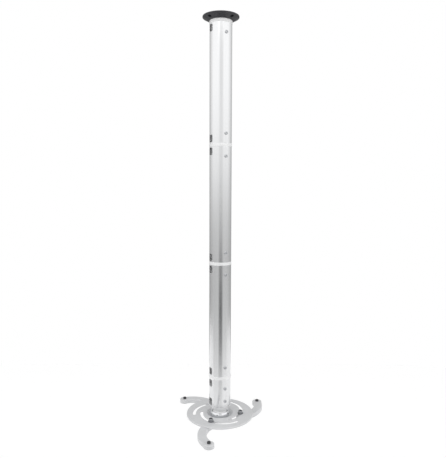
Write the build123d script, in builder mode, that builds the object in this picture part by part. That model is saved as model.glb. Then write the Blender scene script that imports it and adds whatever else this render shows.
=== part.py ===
import os
from math import asin, atan2, cos, degrees, radians, sin, sqrt

from build123d import *

os.makedirs("parts", exist_ok=True)

# The ceiling face is z = 0 and the mount hangs down from it. Sizes are in millimetres.

# Column: equal aluminium tubes and a short end tube, screwed end to end over plug-in couplers
tube_od = 65.0
tube_wall = 2.5
long_tube = 336.5
short_tube = 85.5
collar_height = 9.0
collar_stand = 0.7
collar_round = 0.6
spigot_wall = 4.5
spigot_gap = 0.15
spigot_spare = 12.0

# Cable slots through the left and right walls at each tube end
slot_width = 16.5
slot_height = 21.0
slot_round = 4.0
slot_inset = 3.5
window_gap = 0.5

# Button-head screws through the front and back walls at each tube end
screw_r = 2.5
screw_head_r = 4.75
screw_head_height = 2.6
screw_head_round = 1.6
screw_rise = 28.0
end_screw_rise = 19.0
hole_gap = 0.25
thread_gap = 0.05
socket_share = 0.5

# Ceiling plate
plate_r = 52.8
plate_rim = 3.5
plate_height = 13.0
plate_hub_r = 35.0
plate_round = 1.0
cable_hole_r = 20.0
fixing_count = 4
fixing_pcd = 87.0
fixing_hole_r = 2.75
fixing_seat_r = 5.0
fixing_turn = 16.0
fixing_land = 4.5
plate_screw_count = 3
plate_screw_circle_r = 29.3
plate_screw_r = 2.5
plate_screw_head_r = 4.8
plate_screw_grip = 7.0

# Swivel at the foot of the column
cap_height = 5.0
cap_edge = 1.0
cap_foot_r = 26.0
swivel_bolt_r = 5.0
swivel_head_r = 8.0
swivel_head_height = 10.0
swivel_washer_r = 12.0
swivel_washer_height = 2.0
swivel_thread = 22.0
running_gap = 0.05

# Tilting ball and its socket
neck_drop = 19.5
waist_r = 20.0
waist_rise = 2.4
neck_bulge = 0.6
ball_r = 22.5
ball_flat_drop = 8.0
ball_gap = 0.3
seat_wall = 2.2
seat_top_angle = 6.0
seat_low_angle = 20.0
ring_r = 30.0
ring_height = 16.0
ring_over_ball = 10.5
ring_mouth_r = 26.5
ring_rim = 0.6
ring_skirt = 6.0
ring_round = 1.2
lip_low = 2.1
lip_high = 4.8
ring_screw_count = 3
ring_screw_circle_r = 27.8
ring_screw_r = 1.5
ring_screw_head_r = 2.75
ring_screw_head_height = 3.0
ring_screw_grip = 7.0
ring_screw_land = 5.0

# Round carrier plate with a sunk middle and three slots that run outwards as they go round
disc_r = 101.0
disc_height = 5.0
disc_sheet = 2.2
disc_rim_wall = 3.0
disc_round = 2.0
hub_r = 38.5
hub_floor = 2.2
hub_sink = 7.5
hub_shoulder = 3.5
recess_r = 40.0
recess_foot_r = 32.0
pocket_depth = 13.4
arc_slot_r = 66.5
arc_slot_offset = 13.0
arc_slot_width = 9.0
arc_slot_half_sweep = 65.5
head_turn = -28.0

# Arms under the plate. Each stands at an angle along its slot and a swing from the slot's middle.
arm_count = 3
arm_travel = (-19.8, -30.4, -5.0)
arm_swing = (59.0, 34.5, 27.6)
arm_chord = 114.0
arm_bend_r = 83.0
arm_width = 25.0
arm_height = 12.0
arm_round = 2.2
arm_tip_r = 15.0
arm_tip_blend = 12.0
arm_wall = 4.0
arm_roof = 4.0
arm_boss_r = 10.0
arm_bolt_r = 4.0
arm_bolt_head_r = 6.5
arm_bolt_head_height = 8.0
arm_bolt_round = 0.8
arm_washer_r = 8.5
arm_washer_height = 1.6
arm_nut_r = 7.2
arm_nut_height = 5.0
arm_nut_recess = 6.0
nut_room = 0.6

# Black bushes in the arm tips that take the projector's screws
bush_hole_r = 2.25
bush_r = 4.5
bush_cap_r = 5.2
bush_cap_height = 4.5
bush_cap_round = 0.8
bush_foot_r = 8.0
bush_foot_height = 2.0
bush_gap = 0.1

# Radii and levels that follow from the sizes above
tube_r = tube_od / 2
spigot_r = tube_r - tube_wall - spigot_gap
channel_r = spigot_r - spigot_wall
collar_r = tube_r + collar_stand
slot_middle = slot_inset + slot_height / 2
window_width = slot_width + 2 * window_gap
window_height = slot_height + 2 * window_gap
spigot_length = screw_rise + spigot_spare
plug_length = end_screw_rise + spigot_spare
column_end = -plate_height - 4 * collar_height - 3 * long_tube - short_tube
plug_floor_top = column_end + slot_inset - 2 * window_gap
neck_top = column_end - cap_height
ring_top = column_end - neck_drop
ball_z = ring_top - ring_over_ball
ring_foot = ring_top - ring_height
disc_top = ring_foot + hub_sink
disc_bottom = disc_top - disc_height
sheet_bottom = disc_top - disc_sheet
hub_bottom = ball_z - pocket_depth - hub_floor
ring_screw_seat = ring_foot - ring_screw_land
arm_bottom = disc_bottom - arm_height
seat_in_r = ball_r + ball_gap
seat_out_r = seat_in_r + seat_wall
pocket_r = seat_out_r + ball_gap


def keep(piece, node):
    piece.part.label = node
    export_step(piece.part, f"parts/{node}.step")


def on_circle(radius, angle):
    return (radius * cos(radians(angle)), radius * sin(radians(angle)))


# Ceiling plate: a black casting with a flat top, a thin rim and a coned underside.
# Four wood screws hold it to the ceiling, and cables can pass through its middle.
with BuildPart() as ceiling_plate:
    with BuildSketch(Plane.XZ):
        with BuildLine():
            Polyline(
                (cable_hole_r, 0),
                (plate_r, 0),
                (plate_r, -plate_rim),
                (plate_hub_r, -plate_height),
                (cable_hole_r, -plate_height),
                close=True,
            )
        make_face()
    revolve(axis=Axis.Z)
    rim_edges = ceiling_plate.edges().filter_by(GeomType.CIRCLE).sort_by(SortBy.RADIUS)[-2:]
    fillet(rim_edges, plate_round)
    with BuildSketch():
        with PolarLocations(fixing_pcd / 2, fixing_count, start_angle=fixing_turn):
            Circle(fixing_hole_r)
    extrude(amount=-plate_height, mode=Mode.SUBTRACT)
    with BuildSketch(Plane.XY.offset(-fixing_land)):
        with PolarLocations(fixing_pcd / 2, fixing_count, start_angle=fixing_turn):
            Circle(fixing_seat_r)
    extrude(amount=-plate_height, mode=Mode.SUBTRACT)
    with PolarLocations(plate_screw_circle_r, plate_screw_count):
        CounterSinkHole(plate_screw_r + hole_gap, plate_screw_head_r, depth=plate_height)
keep(ceiling_plate, "ceiling_plate")

# Plate screws: countersunk from the ceiling side into the first collar
plate_screw_reach = plate_height + plate_screw_grip
with BuildPart() as plate_screws:
    head_drop = plate_screw_head_r - plate_screw_r - hole_gap
    for number in range(plate_screw_count):
        x, y = on_circle(plate_screw_circle_r, 360 * number / plate_screw_count)
        with BuildSketch(Plane.XZ.offset(-y)):
            with BuildLine():
                Polyline(
                    (x, -hole_gap),
                    (x + plate_screw_head_r - 2 * hole_gap, -hole_gap),
                    (x + plate_screw_r, -hole_gap - head_drop),
                    (x + plate_screw_r, -plate_screw_reach),
                    (x, -plate_screw_reach),
                    close=True,
                )
            make_face()
        revolve(axis=Axis((x, y, 0), (0, 0, 1)))
keep(plate_screws, "plate_screws")


def coupler(node, collar_top, reach_up, reach_down):
    """A light ring that shows between two tubes, with a hollow spigot into each of them."""
    collar_bottom = collar_top - collar_height
    with BuildPart() as body:
        with BuildSketch(Plane.XY.offset(collar_bottom)):
            Circle(collar_r)
        extrude(amount=collar_height)
        fillet(body.edges().filter_by(GeomType.CIRCLE), collar_round)
        with BuildSketch(Plane.XY.offset(collar_bottom - reach_down)):
            Circle(spigot_r)
        extrude(amount=reach_down + collar_height + reach_up)
        with BuildSketch(Plane.XY.offset(collar_bottom - reach_down)):
            Circle(channel_r)
        extrude(amount=reach_down + collar_height + reach_up, mode=Mode.SUBTRACT)
        ends = [(collar_bottom, -1)]
        if reach_up > 0:
            ends.append((collar_top, 1))
        with BuildSketch(Plane.YZ):
            with Locations([(0, level + way * slot_middle) for level, way in ends]):
                RectangleRounded(window_width, window_height, slot_round + window_gap)
        extrude(amount=tube_od, both=True, mode=Mode.SUBTRACT)
        with BuildSketch(Plane.XZ):
            with Locations([(0, level + way * screw_rise) for level, way in ends]):
                Circle(screw_r + thread_gap)
        extrude(amount=tube_od, both=True, mode=Mode.SUBTRACT)
        if reach_up == 0:
            with BuildSketch(Plane.XY.offset(collar_top)):
                with PolarLocations(plate_screw_circle_r, plate_screw_count):
                    Circle(plate_screw_r + thread_gap)
            extrude(amount=-plate_screw_grip, mode=Mode.SUBTRACT)
    keep(body, node)


def tube(node, top, length, low_screw_rise):
    """A plain length of tube with a pair of cable slots and a pair of screw holes at each end."""
    bottom = top - length
    with BuildPart() as body:
        with BuildSketch(Plane.XY.offset(bottom)):
            Circle(tube_r)
            Circle(tube_r - tube_wall, mode=Mode.SUBTRACT)
        extrude(amount=length)
        with BuildSketch(Plane.YZ):
            with Locations((0, top - slot_middle), (0, bottom + slot_middle)):
                RectangleRounded(slot_width, slot_height, slot_round)
        extrude(amount=tube_od, both=True, mode=Mode.SUBTRACT)
        with BuildSketch(Plane.XZ):
            with Locations((0, top - screw_rise), (0, bottom + low_screw_rise)):
                Circle(screw_r + hole_gap)
        extrude(amount=tube_od, both=True, mode=Mode.SUBTRACT)
    keep(body, node)


def side_screws(node, levels):
    """Button-head screws that go through the tube wall into a spigot, from the front and the back."""
    reach = tube_wall + spigot_gap + spigot_wall
    with BuildPart() as body:
        for level in levels:
            for side in (-1, 1):
                seat = Plane(origin=(0, side * tube_r, level), x_dir=(1, 0, 0), z_dir=(0, side, 0))
                with BuildSketch(seat):
                    Circle(screw_head_r)
                extrude(amount=screw_head_height)
                with BuildSketch(seat):
                    Circle(screw_r)
                extrude(amount=-reach)
        outer = tube_r + screw_head_height
        crowns = body.faces().filter_by(Axis.Y).filter_by(lambda face: abs(face.center().Y) > tube_r)
        fillet(crowns.edges(), screw_head_round)
        for level in levels:
            for side in (-1, 1):
                crown = Plane(origin=(0, side * outer, level), x_dir=(1, 0, 0), z_dir=(0, side, 0))
                with BuildSketch(crown):
                    RegularPolygon(screw_head_r * socket_share, 6, major_radius=False)
                extrude(amount=-screw_head_height * socket_share, mode=Mode.SUBTRACT)
    keep(body, node)


# The column from the ceiling down: a collar, then a tube, four times over
sections = (
    ("upper_tube", long_tube, screw_rise),
    ("middle_tube", long_tube, screw_rise),
    ("lower_tube", long_tube, screw_rise),
    ("end_tube", short_tube, end_screw_rise),
)
collar_top = -plate_height
for number, (tube_name, length, low_rise) in enumerate(sections):
    tube_top = collar_top - collar_height
    if number == 0:
        coupler("ceiling_spigot", collar_top, 0, spigot_length)
        side_screws("ceiling_spigot_screws", [tube_top - screw_rise])
    else:
        coupler(f"coupler_{number}", collar_top, spigot_length, spigot_length)
        side_screws(f"coupler_{number}_screws", [collar_top + screw_rise, tube_top - screw_rise])
    tube(tube_name, tube_top, length, low_rise)
    collar_top = tube_top - length
side_screws("end_plug_screws", [column_end + end_screw_rise])

# End plug: a cup inside the last tube whose coned cap closes the foot of the column
with BuildPart() as end_plug:
    with BuildSketch(Plane.XZ):
        with BuildLine():
            Polyline(
                (swivel_bolt_r + running_gap, neck_top),
                (cap_foot_r, neck_top),
                (tube_r, column_end - cap_edge),
                (tube_r, column_end),
                (spigot_r, column_end),
                (spigot_r, column_end + plug_length),
                (channel_r, column_end + plug_length),
                (channel_r, plug_floor_top),
                (swivel_bolt_r + running_gap, plug_floor_top),
                close=True,
            )
        make_face()
    revolve(axis=Axis.Z)
    with BuildSketch(Plane.YZ):
        with Locations((0, column_end + slot_middle)):
            RectangleRounded(window_width, window_height, slot_round + window_gap)
    extrude(amount=tube_od, both=True, mode=Mode.SUBTRACT)
    with BuildSketch(Plane.XZ):
        with Locations((0, column_end + end_screw_rise)):
            Circle(screw_r + thread_gap)
    extrude(amount=tube_od, both=True, mode=Mode.SUBTRACT)
keep(end_plug, "end_plug")

# Swivel washer and bolt: the bolt hangs the neck from the plug's floor and turns with it
washer_top = plug_floor_top + swivel_washer_height
with BuildPart() as swivel_washer:
    with BuildSketch(Plane.XY.offset(plug_floor_top)):
        Circle(swivel_washer_r)
        Circle(swivel_bolt_r + thread_gap, mode=Mode.SUBTRACT)
    extrude(amount=swivel_washer_height)
keep(swivel_washer, "swivel_washer")

with BuildPart() as swivel_bolt:
    with BuildSketch(Plane.XY.offset(washer_top)):
        Circle(swivel_head_r)
    extrude(amount=swivel_head_height)
    chamfer(swivel_bolt.faces().sort_by(Axis.Z)[-1].edges(), arm_bolt_round)
    with BuildSketch(Plane.XY.offset(washer_top + swivel_head_height)):
        RegularPolygon(swivel_head_r * socket_share, 6, major_radius=False)
    extrude(amount=-swivel_head_height * socket_share, mode=Mode.SUBTRACT)
    with BuildSketch(Plane.XY.offset(neck_top - swivel_thread)):
        Circle(swivel_bolt_r)
    extrude(amount=swivel_thread + washer_top - neck_top)
keep(swivel_bolt, "swivel_bolt")

# Swivel neck: one casting that narrows from the cap to a waist and swells into the ball
waist_foot = sqrt(ball_r**2 - waist_r**2)
ball_flat_r = sqrt(ball_r**2 - ball_flat_drop**2)
waist_z = ring_top + waist_rise
bulge_x = (cap_foot_r + waist_r) / 2 + neck_bulge
bulge_z = (neck_top + waist_z) / 2 - neck_bulge
with BuildPart() as swivel_neck:
    with BuildSketch(Plane.XZ):
        with BuildLine():
            Polyline(
                (0, ball_z - ball_flat_drop),
                (ball_flat_r, ball_z - ball_flat_drop),
            )
            ThreePointArc(
                (ball_flat_r, ball_z - ball_flat_drop),
                (ball_r, ball_z),
                (waist_r, ball_z + waist_foot),
            )
            Line((waist_r, ball_z + waist_foot), (waist_r, waist_z))
            ThreePointArc((waist_r, waist_z), (bulge_x, bulge_z), (cap_foot_r, neck_top))
            Polyline(
                (cap_foot_r, neck_top),
                (swivel_bolt_r + thread_gap, neck_top),
                (swivel_bolt_r + thread_gap, neck_top - swivel_thread - hole_gap),
                (0, neck_top - swivel_thread - hole_gap),
                (0, ball_z - ball_flat_drop),
            )
        make_face()
    revolve(axis=Axis.Z)
keep(swivel_neck, "swivel_neck")

# Ball seat: a nylon band that lines the socket under the ball's widest part
seat_sweep = seat_low_angle - seat_top_angle
with BuildPart() as ball_seat:
    with BuildSketch(Plane.XZ):
        with BuildLine():
            inner = CenterArc((0, ball_z), seat_in_r, -seat_low_angle, seat_sweep)
            outer = CenterArc((0, ball_z), seat_out_r, -seat_low_angle, seat_sweep)
            Line(inner @ 0, outer @ 0)
            Line(inner @ 1, outer @ 1)
        make_face()
    revolve(axis=Axis.Z)
keep(ball_seat, "ball_seat")

# Clamp ring: chromed, with a crowned outside, a coned mouth and an inner lip that holds the ball down
lip_low_r = sqrt(seat_in_r**2 - lip_low**2)
lip_high_r = sqrt(seat_in_r**2 - lip_high**2)
lip_mid = (lip_low + lip_high) / 2
lip_mid_r = sqrt(seat_in_r**2 - lip_mid**2)
crown_foot = ring_foot + ring_skirt
crown_rise = ring_top - crown_foot
crown_inset = ring_r - ring_mouth_r - ring_rim
crown_r = (crown_rise**2 + crown_inset**2) / (2 * crown_inset)
crown_x = ring_r - crown_r
crown_half = asin(crown_rise / crown_r) / 2
with BuildPart() as clamp_ring:
    with BuildSketch(Plane.XZ):
        with BuildLine():
            Polyline(
                (pocket_r, ring_foot),
                (pocket_r, ball_z + lip_low),
                (lip_low_r, ball_z + lip_low),
            )
            ThreePointArc(
                (lip_low_r, ball_z + lip_low),
                (lip_mid_r, ball_z + lip_mid),
                (lip_high_r, ball_z + lip_high),
            )
            Polyline(
                (lip_high_r, ball_z + lip_high),
                (ring_mouth_r, ring_top),
                (ring_mouth_r + ring_rim, ring_top),
            )
            ThreePointArc(
                (ring_mouth_r + ring_rim, ring_top),
                (crown_x + crown_r * cos(crown_half), crown_foot + crown_r * sin(crown_half)),
                (ring_r, crown_foot),
            )
            Polyline(
                (ring_r, crown_foot),
                (ring_r, ring_foot),
                (pocket_r, ring_foot),
            )
        make_face()
    revolve(axis=Axis.Z)
    foot_edges = clamp_ring.edges().filter_by(GeomType.CIRCLE).sort_by(Axis.Z)[:2]
    fillet(foot_edges.sort_by(SortBy.RADIUS)[-1], ring_round)
    with BuildSketch(Plane.XY.offset(ring_foot)):
        with PolarLocations(ring_screw_circle_r, ring_screw_count, start_angle=head_turn):
            Circle(ring_screw_r + thread_gap)
    extrude(amount=ring_screw_grip, mode=Mode.SUBTRACT)
keep(clamp_ring, "clamp_ring")

# Carrier plate: a thin disc with a turned-down rim and a sunk middle, and the ball's pocket in the hub
slot_middles = [head_turn + 360 * n / arm_count for n in range(arm_count)]
slot_centres = [on_circle(arc_slot_offset, middle + 90) for middle in slot_middles]
slot_paths = [
    CenterArc(centre, arc_slot_r, middle - arc_slot_half_sweep, 2 * arc_slot_half_sweep)
    for middle, centre in zip(slot_middles, slot_centres)
]
with BuildPart() as carrier_plate:
    with BuildSketch(Plane.XZ):
        with BuildLine():
            Polyline(
                (0, ring_foot),
                (recess_foot_r, ring_foot),
                (recess_r, disc_top),
                (disc_r, disc_top),
                (disc_r, disc_bottom),
                (disc_r - disc_rim_wall, disc_bottom),
                (disc_r - disc_rim_wall, sheet_bottom),
                (hub_r + hub_shoulder, sheet_bottom),
                (hub_r, disc_bottom),
                (hub_r, hub_bottom),
                (0, hub_bottom),
                close=True,
            )
        make_face()
    revolve(axis=Axis.Z)
    rim_edges = carrier_plate.edges().filter_by(GeomType.CIRCLE).sort_by(Axis.Z)[-2:]
    fillet(rim_edges.sort_by(SortBy.RADIUS)[-1], disc_round)
    mouth_r = sqrt(pocket_r**2 - (ring_foot - ball_z) ** 2)
    floor_r = sqrt(pocket_r**2 - pocket_depth**2)
    wall_z = (ring_foot + ball_z - pocket_depth) / 2
    wall_r = sqrt(pocket_r**2 - (wall_z - ball_z) ** 2)
    with BuildSketch(Plane.XZ):
        with BuildLine():
            Polyline(
                (mouth_r, ring_foot),
                (0, ring_foot),
                (0, ball_z - pocket_depth),
                (floor_r, ball_z - pocket_depth),
            )
            ThreePointArc(
                (floor_r, ball_z - pocket_depth),
                (wall_r, wall_z),
                (mouth_r, ring_foot),
            )
        make_face()
    revolve(axis=Axis.Z, mode=Mode.SUBTRACT)
    with BuildSketch(Plane.XY.offset(sheet_bottom)):
        for path in slot_paths:
            SlotArc(path, arc_slot_width)
    extrude(amount=disc_sheet, mode=Mode.SUBTRACT)
    with BuildSketch(Plane.XY.offset(ring_foot)):
        with PolarLocations(ring_screw_circle_r, ring_screw_count, start_angle=head_turn):
            Circle(ring_screw_r + hole_gap)
    extrude(amount=hub_bottom - ring_foot, mode=Mode.SUBTRACT)
    with BuildSketch(Plane.XY.offset(ring_screw_seat)):
        with PolarLocations(ring_screw_circle_r, ring_screw_count, start_angle=head_turn):
            Circle(ring_screw_head_r + hole_gap)
    extrude(amount=hub_bottom - ring_screw_seat, mode=Mode.SUBTRACT)
keep(carrier_plate, "carrier_plate")

# Ring screws: from under the plate up into the clamp ring
with BuildPart() as ring_screws:
    with BuildSketch(Plane.XY.offset(ring_screw_seat - ring_screw_head_height)):
        with PolarLocations(ring_screw_circle_r, ring_screw_count, start_angle=head_turn):
            Circle(ring_screw_head_r)
    extrude(amount=ring_screw_head_height)
    with BuildSketch(Plane.XY.offset(ring_screw_seat)):
        with PolarLocations(ring_screw_circle_r, ring_screw_count, start_angle=head_turn):
            Circle(ring_screw_r)
    extrude(amount=ring_screw_land + ring_screw_grip - hole_gap)
    with BuildSketch(Plane.XY.offset(ring_screw_seat - ring_screw_head_height)):
        with PolarLocations(ring_screw_circle_r, ring_screw_count, start_angle=head_turn):
            RegularPolygon(ring_screw_head_r * socket_share, 6, major_radius=False)
    extrude(amount=ring_screw_head_height * socket_share, mode=Mode.SUBTRACT)
keep(ring_screws, "ring_screws")


# Three arms under the plate, each with its bolt, washers, nut and tip bush
bend_drop = sqrt(arm_bend_r**2 - (arm_chord / 2) ** 2)
bend_half = degrees(atan2(arm_chord / 2, bend_drop))
spine = CenterArc((arm_chord / 2, bend_drop), arm_bend_r, 270 - bend_half, 2 * bend_half)
washer_level = disc_top + arm_washer_height
nut_top = arm_bottom + arm_nut_recess
arm_pad = disc_height - disc_sheet
for number in range(arm_count):
    centre_x, centre_y = slot_centres[number]
    along_x, along_y = on_circle(arc_slot_r, slot_middles[number] + arm_travel[number])
    pivot = (centre_x + along_x, centre_y + along_y)
    heading = slot_middles[number] + arm_swing[number]
    reach_x, reach_y = on_circle(arm_chord, heading)
    tip = (pivot[0] + reach_x, pivot[1] + reach_y)
    name = number + 1

    # Bolt: a socket-head screw whose shank rides in the slot
    with BuildPart() as arm_bolt:
        with BuildSketch(Plane(origin=(*pivot, washer_level))):
            Circle(arm_bolt_head_r)
        extrude(amount=arm_bolt_head_height)
        chamfer(arm_bolt.faces().sort_by(Axis.Z)[-1].edges(), arm_bolt_round)
        with BuildSketch(Plane(origin=(*pivot, washer_level + arm_bolt_head_height))):
            RegularPolygon(arm_bolt_head_r * socket_share, 6, major_radius=False)
        extrude(amount=-arm_bolt_head_height * socket_share, mode=Mode.SUBTRACT)
        with BuildSketch(Plane(origin=(*pivot, nut_top - arm_nut_height))):
            Circle(arm_bolt_r)
        extrude(amount=washer_level - nut_top + arm_nut_height)
    keep(arm_bolt, f"arm_bolt_{name}")

    # Washer on the plate and nut in the arm's recess
    with BuildPart() as arm_washer:
        with BuildSketch(Plane(origin=(*pivot, disc_top))):
            Circle(arm_washer_r)
            Circle(arm_bolt_r + thread_gap, mode=Mode.SUBTRACT)
        extrude(amount=arm_washer_height)
    keep(arm_washer, f"arm_washer_{name}")
    with BuildPart() as arm_nut:
        with BuildSketch(Plane(origin=(*pivot, nut_top - arm_nut_height))):
            RegularPolygon(arm_nut_r, 6)
            Circle(arm_bolt_r + thread_gap, mode=Mode.SUBTRACT)
        extrude(amount=arm_nut_height)
    keep(arm_nut, f"arm_nut_{name}")

    # Arm: a curved die-cast channel, open underneath, with a boss at each end and a pad under the plate
    lay = Plane(origin=(*pivot, arm_bottom), x_dir=(reach_x, reach_y, 0), z_dir=(0, 0, 1))
    with BuildPart() as arm:
        with BuildSketch(lay) as outline:
            SlotArc(spine, arm_width)
            with Locations((arm_chord, 0)):
                Circle(arm_tip_r)
            fillet(outline.vertices().sort_by_distance(spine @ 0.85)[:2], arm_tip_blend)
        extrude(amount=arm_height)
        fillet(arm.faces().sort_by(Axis.Z)[-1].edges(), arm_round)
        with BuildSketch(Plane(origin=(*pivot, disc_bottom))):
            Circle(arm_boss_r)
        extrude(amount=arm_pad)
        with BuildSketch(lay):
            SlotArc(spine, arm_width - 2 * arm_wall)
            Circle(arm_boss_r, mode=Mode.SUBTRACT)
            with Locations((arm_chord, 0)):
                Circle(arm_boss_r, mode=Mode.SUBTRACT)
        extrude(amount=arm_height - arm_roof, mode=Mode.SUBTRACT)
        with BuildSketch(lay):
            Circle(arm_nut_r + nut_room)
        extrude(amount=arm_nut_recess, mode=Mode.SUBTRACT)
        with BuildSketch(lay):
            Circle(arm_bolt_r + running_gap)
            with Locations((arm_chord, 0)):
                Circle(bush_r + bush_gap)
        extrude(amount=arm_height + arm_pad, mode=Mode.SUBTRACT)
    keep(arm, f"arm_{name}")

    # Tip bush: a black sleeve with a cap above the arm and a foot below it
    with BuildPart() as tip_bush:
        with BuildSketch(Plane(origin=(*tip, arm_bottom - bush_foot_height))):
            Circle(bush_foot_r)
        extrude(amount=bush_foot_height)
        with BuildSketch(Plane(origin=(*tip, arm_bottom))):
            Circle(bush_r)
        extrude(amount=arm_height)
        with BuildSketch(Plane(origin=(*tip, disc_bottom))):
            Circle(bush_cap_r)
        extrude(amount=bush_cap_height)
        fillet(tip_bush.faces().sort_by(Axis.Z)[-1].edges(), bush_cap_round)
        with BuildSketch(Plane(origin=(*tip, arm_bottom - bush_foot_height))):
            Circle(bush_hole_r)
        extrude(amount=bush_foot_height + arm_height + bush_cap_height, mode=Mode.SUBTRACT)
    keep(tip_bush, f"tip_bush_{name}")
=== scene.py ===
from math import cos, radians, sin

import bpy
from mathutils import Euler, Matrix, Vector


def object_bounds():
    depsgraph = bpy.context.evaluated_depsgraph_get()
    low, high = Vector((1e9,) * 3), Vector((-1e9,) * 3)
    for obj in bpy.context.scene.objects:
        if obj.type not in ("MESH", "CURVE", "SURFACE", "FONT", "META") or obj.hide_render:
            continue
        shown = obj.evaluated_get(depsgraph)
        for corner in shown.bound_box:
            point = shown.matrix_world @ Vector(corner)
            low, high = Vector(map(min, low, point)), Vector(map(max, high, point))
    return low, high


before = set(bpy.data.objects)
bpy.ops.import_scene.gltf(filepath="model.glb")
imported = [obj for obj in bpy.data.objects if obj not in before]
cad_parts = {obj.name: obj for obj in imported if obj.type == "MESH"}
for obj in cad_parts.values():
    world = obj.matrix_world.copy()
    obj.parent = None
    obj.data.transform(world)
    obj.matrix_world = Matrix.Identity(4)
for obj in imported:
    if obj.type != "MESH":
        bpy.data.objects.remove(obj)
cad_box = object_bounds()


# Ceiling plate: a cast flange with a coned underside, screwed up against the ceiling.
# It is sprayed satin black, so it has a fine orange peel and a little dust in the gloss.
class Socket:
    """A shader node's output. Arithmetic on it adds Math nodes, and node() adds any other node."""

    def __init__(self, tree, link=None):
        self.tree = tree
        self.link = link

    def node(self, kind, settings, sockets, give=0):
        made = self.tree.nodes.new("ShaderNode" + kind)
        for name, setting in settings.items():
            if name == "stops":
                ramp = made.color_ramp.elements
                while len(ramp) < len(setting):
                    ramp.new(1.0)
                for stop, (position, colour) in zip(ramp, setting):
                    stop.position = position
                    stop.color = (*colour, 1.0)
            else:
                setattr(made, name, setting)
        for name, value in sockets.items():
            self.plug(made.inputs[name], value)
        return Socket(self.tree, made.outputs[give])

    def plug(self, entry, value):
        if isinstance(value, Socket):
            self.tree.links.new(value.link, entry)
        else:
            entry.default_value = value

    def math(self, operation, first, second):
        return self.node("Math", {"operation": operation}, {0: first, 1: second})

    def __add__(self, other):
        return self.math("ADD", self, other)

    def __sub__(self, other):
        return self.math("SUBTRACT", self, other)

    def __rsub__(self, other):
        return self.math("SUBTRACT", other, self)

    def __mul__(self, other):
        return self.math("MULTIPLY", self, other)

    __radd__ = __add__
    __rmul__ = __mul__


def grain(place, size, detail=2.0, stretch=(1.0, 1.0, 1.0)):
    """Noise from 0 to 1 with grains of that size in metres, longer where stretch is over 1."""
    scale = [1.0 / (size * along) for along in stretch]
    spread = place.node("VectorMath", {"operation": "MULTIPLY"}, {0: place, 1: scale})
    return place.node("TexNoise", {}, {"Vector": spread, "Scale": 1.0, "Detail": detail})


def between(share, low, high):
    """A colour that goes from low to high with share."""
    return share.node("Mix", {"data_type": "RGBA"}, {0: share, 6: (*low, 1.0), 7: (*high, 1.0)}, 2)


def relief(height, depth):
    """A bump whose height of 0 to 1 stands for that depth in metres."""
    return height.node("Bump", {}, {"Distance": depth, "Height": height}, "Normal")


def finish(name, nodes, look):
    """Makes a material from look(), which reads the place on the piece, and gives it to CAD nodes."""
    material = bpy.data.materials.new(name)
    material.use_nodes = True
    tree = material.node_tree
    shader = tree.nodes["Principled BSDF"]
    place = Socket(tree).node("TexCoord", {}, {}, "Object")
    for entry, value in look(place).items():
        place.plug(shader.inputs[entry], value)
    for node in nodes:
        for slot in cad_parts[node].material_slots:
            slot.material = material


def satin_black(place):
    dust = grain(place, 0.012, 4.0)
    peel = grain(place, 0.0011)
    return {
        "Base Color": between(dust, (0.015, 0.0155, 0.019), (0.028, 0.029, 0.035)),
        "Roughness": 0.34 + 0.14 * dust,
        "Normal": relief(peel, 0.00006),
    }


finish("satin_black_paint", ["ceiling_plate"], satin_black)


# Tubes: four lengths of drawn aluminium tube, satin anodised in its natural silver.
# The die leaves faint lines along the tube, and handling leaves soft cloudy patches.
tubes = ["upper_tube", "middle_tube", "lower_tube", "end_tube"]


def drawn_aluminium(place):
    lines = grain(place, 0.0012, 3.0, (1.0, 1.0, 260.0))
    clouds = grain(place, 0.09, 3.0)
    return {
        "Base Color": between(lines, (0.75, 0.755, 0.765), (0.82, 0.825, 0.83)),
        "Metallic": 1.0,
        "Roughness": 0.16 + 0.05 * lines + 0.05 * clouds,
        "Normal": relief(lines, 0.00002),
    }


finish("drawn_aluminium", tubes, drawn_aluminium)


# Collars and plug: turned from bar, with a spigot that slides into the tubes, and bead blasted.
# What shows is a pale band at each joint and the coned cap that closes the last tube.
turned_pieces = ["ceiling_spigot", "coupler_1", "coupler_2", "coupler_3", "end_plug"]


def turned_and_blasted(place):
    turning = grain(place, 0.0005, 1.0, (400.0, 400.0, 1.0))
    blast = grain(place, 0.0006)
    return {
        "Base Color": between(turning, (0.88, 0.885, 0.89), (0.94, 0.94, 0.94)),
        "Metallic": 1.0,
        "Roughness": 0.56 + 0.14 * blast,
        "Normal": relief(0.6 * turning + 0.4 * blast, 0.00003),
    }


finish("turned_and_blasted_aluminium", turned_pieces, turned_and_blasted)


# Screws, swivel bolt and washer: zinc plated steel, a little cloudy from the plating bath.
# They hold the tubes to the spigots, the neck to the plug and the ring to the carrier plate.
coupler_screws = [f"coupler_{joint}_screws" for joint in (1, 2, 3)]
column_screws = ["plate_screws", "ceiling_spigot_screws", *coupler_screws, "end_plug_screws"]
head_fasteners = ["swivel_washer", "swivel_bolt", "ring_screws"]


def zinc_plate(place):
    bath = grain(place, 0.004, 4.0)
    scratches = grain(place, 0.0004)
    return {
        "Base Color": between(bath, (0.42, 0.43, 0.45), (0.62, 0.63, 0.64)),
        "Metallic": 1.0,
        "Roughness": 0.24 + 0.16 * bath,
        "Normal": relief(scratches, 0.00002),
    }


finish("zinc_plated_steel", column_screws + head_fasteners, zinc_plate)


# Arm bolts, washers and nuts: black zinc plated steel that clamps each arm under the carrier plate.
# The plating is dark and glossy, and a little thinner in patches.
arm_numbers = (1, 2, 3)
arm_fasteners = [f"arm_{part}_{number}" for part in ("bolt", "washer", "nut") for number in arm_numbers]


def black_zinc(place):
    wear = grain(place, 0.003, 4.0)
    scratches = grain(place, 0.0004)
    return {
        "Base Color": between(wear, (0.22, 0.224, 0.235), (0.38, 0.386, 0.40)),
        "Metallic": 0.9,
        "Roughness": 0.16 + 0.14 * wear,
        "Normal": relief(scratches, 0.00002),
    }


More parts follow.
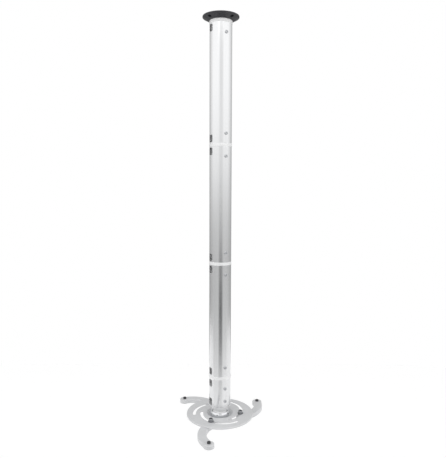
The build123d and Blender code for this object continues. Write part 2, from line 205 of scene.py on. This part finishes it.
finish("black_zinc_plated_steel", arm_fasteners, black_zinc)


# Swivel neck: turned aluminium that tapers from the column to the ball, with a satin skin.
# One bolt hangs it from the plug in the last tube, and the head turns on that bolt.
def satin_turned(place):
    turning = grain(place, 0.0004, 1.0, (300.0, 300.0, 1.0))
    haze = grain(place, 0.02, 3.0)
    return {
        "Base Color": between(haze, (0.90, 0.905, 0.91), (0.95, 0.95, 0.95)),
        "Metallic": 0.5,
        "Roughness": 0.46 + 0.12 * haze,
        "Normal": relief(turning, 0.00002),
    }


finish("satin_turned_aluminium", ["swivel_neck"], satin_turned)


# Ball seat: a band of natural nylon between the ball and the carrier plate's pocket.
# It is moulded, slightly cloudy, and stays in the pocket under the clamp ring.
def natural_nylon(place):
    cloud = grain(place, 0.006, 3.0)
    return {
        "Base Color": between(cloud, (0.74, 0.72, 0.66), (0.82, 0.81, 0.77)),
        "Roughness": 0.38 + 0.12 * cloud,
        "Normal": relief(grain(place, 0.0008), 0.00003),
    }


finish("natural_nylon", ["ball_seat"], natural_nylon)


# Clamp ring: a steel ring, polished and chromed, that holds the ball down in its pocket.
# Three screws from under the carrier plate pull it tight.
def bright_chrome(place):
    haze = grain(place, 0.010, 4.0)
    polish = grain(place, 0.0006, 1.0, (60.0, 60.0, 1.0))
    return {
        "Base Color": between(haze, (0.70, 0.71, 0.73), (0.78, 0.79, 0.80)),
        "Metallic": 1.0,
        "Roughness": 0.05 + 0.05 * haze,
        "Normal": relief(polish, 0.000006),
    }


finish("bright_chrome", ["clamp_ring"], bright_chrome)


# Carrier plate and arms: zinc die castings sprayed with silver-grey metallic paint.
# The paint has a fine flake, a soft orange peel and slightly uneven cover.
castings = ["carrier_plate"] + [f"arm_{number}" for number in arm_numbers]


def silver_paint(place):
    cover = grain(place, 0.030, 4.0)
    flake = grain(place, 0.0005, 1.0)
    peel = grain(place, 0.0024)
    return {
        "Base Color": between(0.55 * cover + 0.45 * flake, (0.57, 0.575, 0.585), (0.74, 0.745, 0.755)),
        "Metallic": 0.2,
        "Roughness": 0.36 + 0.10 * cover + 0.08 * flake,
        "Normal": relief(peel, 0.00006),
    }


finish("silver_grey_paint", castings, silver_paint)


# Tip bushes: black moulded sleeves in the arm tips, with the faint grain of the mould.
# A screw goes down through each of them into the projector that hangs below.
tip_bushes = [f"tip_bush_{number}" for number in arm_numbers]


def moulded_black(place):
    mould = grain(place, 0.0007)
    wear = grain(place, 0.003, 4.0)
    return {
        "Base Color": between(wear, (0.028, 0.028, 0.031), (0.060, 0.060, 0.064)),
        "Roughness": 0.42 + 0.18 * wear,
        "Normal": relief(mould, 0.00005),
    }


finish("moulded_black_plastic", tip_bushes, moulded_black)


# Floor: a pale paper sheet well below the hanging mount, running back from just in front of it.
# A low glow stands for the lamps that light such a sheet evenly to white.
camera_heading = radians(-29.0)
floor_gap = 0.45
floor_front = 0.5
floor_back = 1.65
floor_half = 2.4
floor_glow = 0.18
floor_roughness = 0.9
white = (1.0, 1.0, 1.0, 1.0)
floor_level = cad_box[0].z - floor_gap
floor_mesh = bpy.data.meshes.new("floor")
turn = Euler((0.0, 0.0, camera_heading)).to_matrix()
near_corners = [(-floor_half, -floor_front), (floor_half, -floor_front)]
far_corners = [(floor_half, floor_back), (-floor_half, floor_back)]
corners = [turn @ Vector((x, y, floor_level)) for x, y in near_corners + far_corners]
floor_mesh.from_pydata(corners, [], [(0, 1, 2, 3)])
floor = bpy.data.objects.new("floor", floor_mesh)
bpy.context.scene.collection.objects.link(floor)
floor_paper = bpy.data.materials.new("pale_paper")
floor_paper.use_nodes = True
paper_shader = floor_paper.node_tree.nodes["Principled BSDF"]
fibre = grain(Socket(floor_paper.node_tree).node("TexCoord", {}, {}, "Object"), 0.01, 4.0)
fibre.plug(paper_shader.inputs["Base Color"], between(fibre, (0.85, 0.85, 0.85), (0.88, 0.88, 0.88)))
paper_shader.inputs["Emission Color"].default_value = white
paper_shader.inputs["Emission Strength"].default_value = floor_glow
paper_shader.inputs["Roughness"].default_value = floor_roughness
floor_mesh.materials.append(floor_paper)


# Studio: a white room, bright above and low down, with a greyer band of wall just under eye level.
# It is darker behind the mount, and a dark gap in front shows as the line down the middle of the tubes.
world = bpy.data.worlds.new("studio")
bpy.context.scene.world = world
world.use_nodes = True
sky = world.node_tree.nodes["Background"]
way = Socket(world.node_tree).node("TexCoord", {}, {}, "Generated")
front_way = turn @ Vector((0.0, -1.0, 0.0))
right_way = turn @ Vector((1.0, 0.0, 0.0))
rise = 0.5 + 0.5 * way.node("SeparateXYZ", {}, {0: way}, "Z")
flat_way = way.node("VectorMath", {"operation": "MULTIPLY"}, {0: way, 1: (1.0, 1.0, 0.0)})
level_way = way.node("VectorMath", {"operation": "NORMALIZE"}, {0: flat_way})
gap_turn = radians(5.0)
gap_way = front_way * cos(gap_turn) + right_way * sin(gap_turn)


def towards(heading):
    """How far a place on the walls lies towards that heading, from -1 to 1."""
    return way.node("VectorMath", {"operation": "DOT_PRODUCT"}, {0: level_way, 1: heading}, "Value")


def shade(share, stops):
    """A grey that follows the stops of position and value."""
    greys = [(position, (value,) * 3) for position, value in stops]
    return share.node("ValToRGB", {"stops": greys}, {0: share})


def wall_rise(degrees, value):
    """A stop of the walls at that angle above eye level."""
    return (0.5 + 0.5 * sin(radians(degrees)), value)


def wall_turn(degrees, value):
    """A stop of the walls at that angle away from the front."""
    return (0.5 + 0.5 * cos(radians(degrees)), value)


wall_light = shade(rise, [
    wall_rise(-52, 0.35), wall_rise(-36, 0.70), wall_rise(-29, 1.16), wall_rise(-24, 1.06),
    wall_rise(-20, 0.78), wall_rise(-15, 0.55), wall_rise(-8, 0.54), wall_rise(-4.3, 0.66),
    wall_rise(-1, 0.86), wall_rise(2.5, 1.06), wall_rise(8, 1.17), wall_rise(13, 1.23), wall_rise(18, 1.20),
])
back_light = shade(0.5 + 0.5 * towards(front_way), [
    wall_turn(170, 0.46), wall_turn(150, 0.50), wall_turn(134, 0.56),
    wall_turn(112, 0.76), wall_turn(80, 1.0),
])
back_share = shade(rise, [
    wall_rise(-25, 1.0), wall_rise(-21.5, 0.80), wall_rise(-19, 0.66), wall_rise(-15.5, 0.66),
    wall_rise(-12, 0.45), wall_rise(-9, 0.45), wall_rise(-5, 0.55), wall_rise(-2, 0.72), wall_rise(1, 1.0),
])
right_share = shade(rise, [wall_rise(-20, 0.06), wall_rise(-8, 0.02), wall_rise(0, 0.0)])
gap = shade(0.5 + 0.5 * towards(gap_way), [wall_turn(24, 0.0), wall_turn(11, 1.0)])
gap_depth = shade(rise, [
    wall_rise(-23.5, 0.0), wall_rise(-21.5, 0.22), wall_rise(-19, 0.96), wall_rise(-12, 0.96),
    wall_rise(-8, 0.28), wall_rise(-4, 0.14), wall_rise(4, 0.10), wall_rise(12, 0.24), wall_rise(17, 0.34),
])
past_back = 1.0 - back_share * (1.0 - back_light)
past_gap = 1.0 - gap * gap_depth
past_right = 1.0 + right_share * towards(right_way)
walls = wall_light * past_back * past_gap * past_right
seen = way.node("LightPath", {}, {}, "Is Camera Ray")
backdrop = way.node("Mix", {"data_type": "RGBA"}, {0: seen, 6: walls, 7: white}, 2)
way.plug(sky.inputs["Color"], backdrop)


# Softbox: one large soft lamp above and in front of the mount, weak beside the white walls.
# It is aimed at the lower part of the column and lifts the faces of the head that look up.
softbox_size = 1.6
softbox_power = 6.0
softbox_rise = 1.0
softbox_reach = 1.2
softbox_aim = Vector((0.0, 0.0, -1.0))
softbox = bpy.data.lights.new("overhead_softbox", "AREA")
softbox.size = softbox_size
softbox.energy = softbox_power
lamp = bpy.data.objects.new("overhead_softbox", softbox)
lamp.location = front_way * softbox_reach + Vector((0.0, 0.0, softbox_rise))
lamp.rotation_euler = (softbox_aim - lamp.location).to_track_quat("-Z", "Y").to_euler()
bpy.context.scene.collection.objects.link(lamp)


# Camera: level with the upper half of the column and looking slightly down, as in the photograph.
# Its focal length is fitted in pixels, and the picture's longer side gives it in millimetres.
image_height = 458
focal_pixels = 500.0
sensor = 36.0
camera_place = (-0.7086, -1.2936, -0.470)
camera_dip = 5.35
camera_roll = -0.2
lens = bpy.data.cameras.new("camera")
lens.sensor_width = sensor
lens.lens = sensor * focal_pixels / image_height
camera = bpy.data.objects.new("camera", lens)
camera.location = camera_place
camera.rotation_euler = (radians(90.0 - camera_dip), radians(camera_roll), camera_heading)
bpy.context.scene.collection.objects.link(camera)
bpy.context.scene.camera = camera
bpy.context.scene.view_settings.view_transform = "Standard"
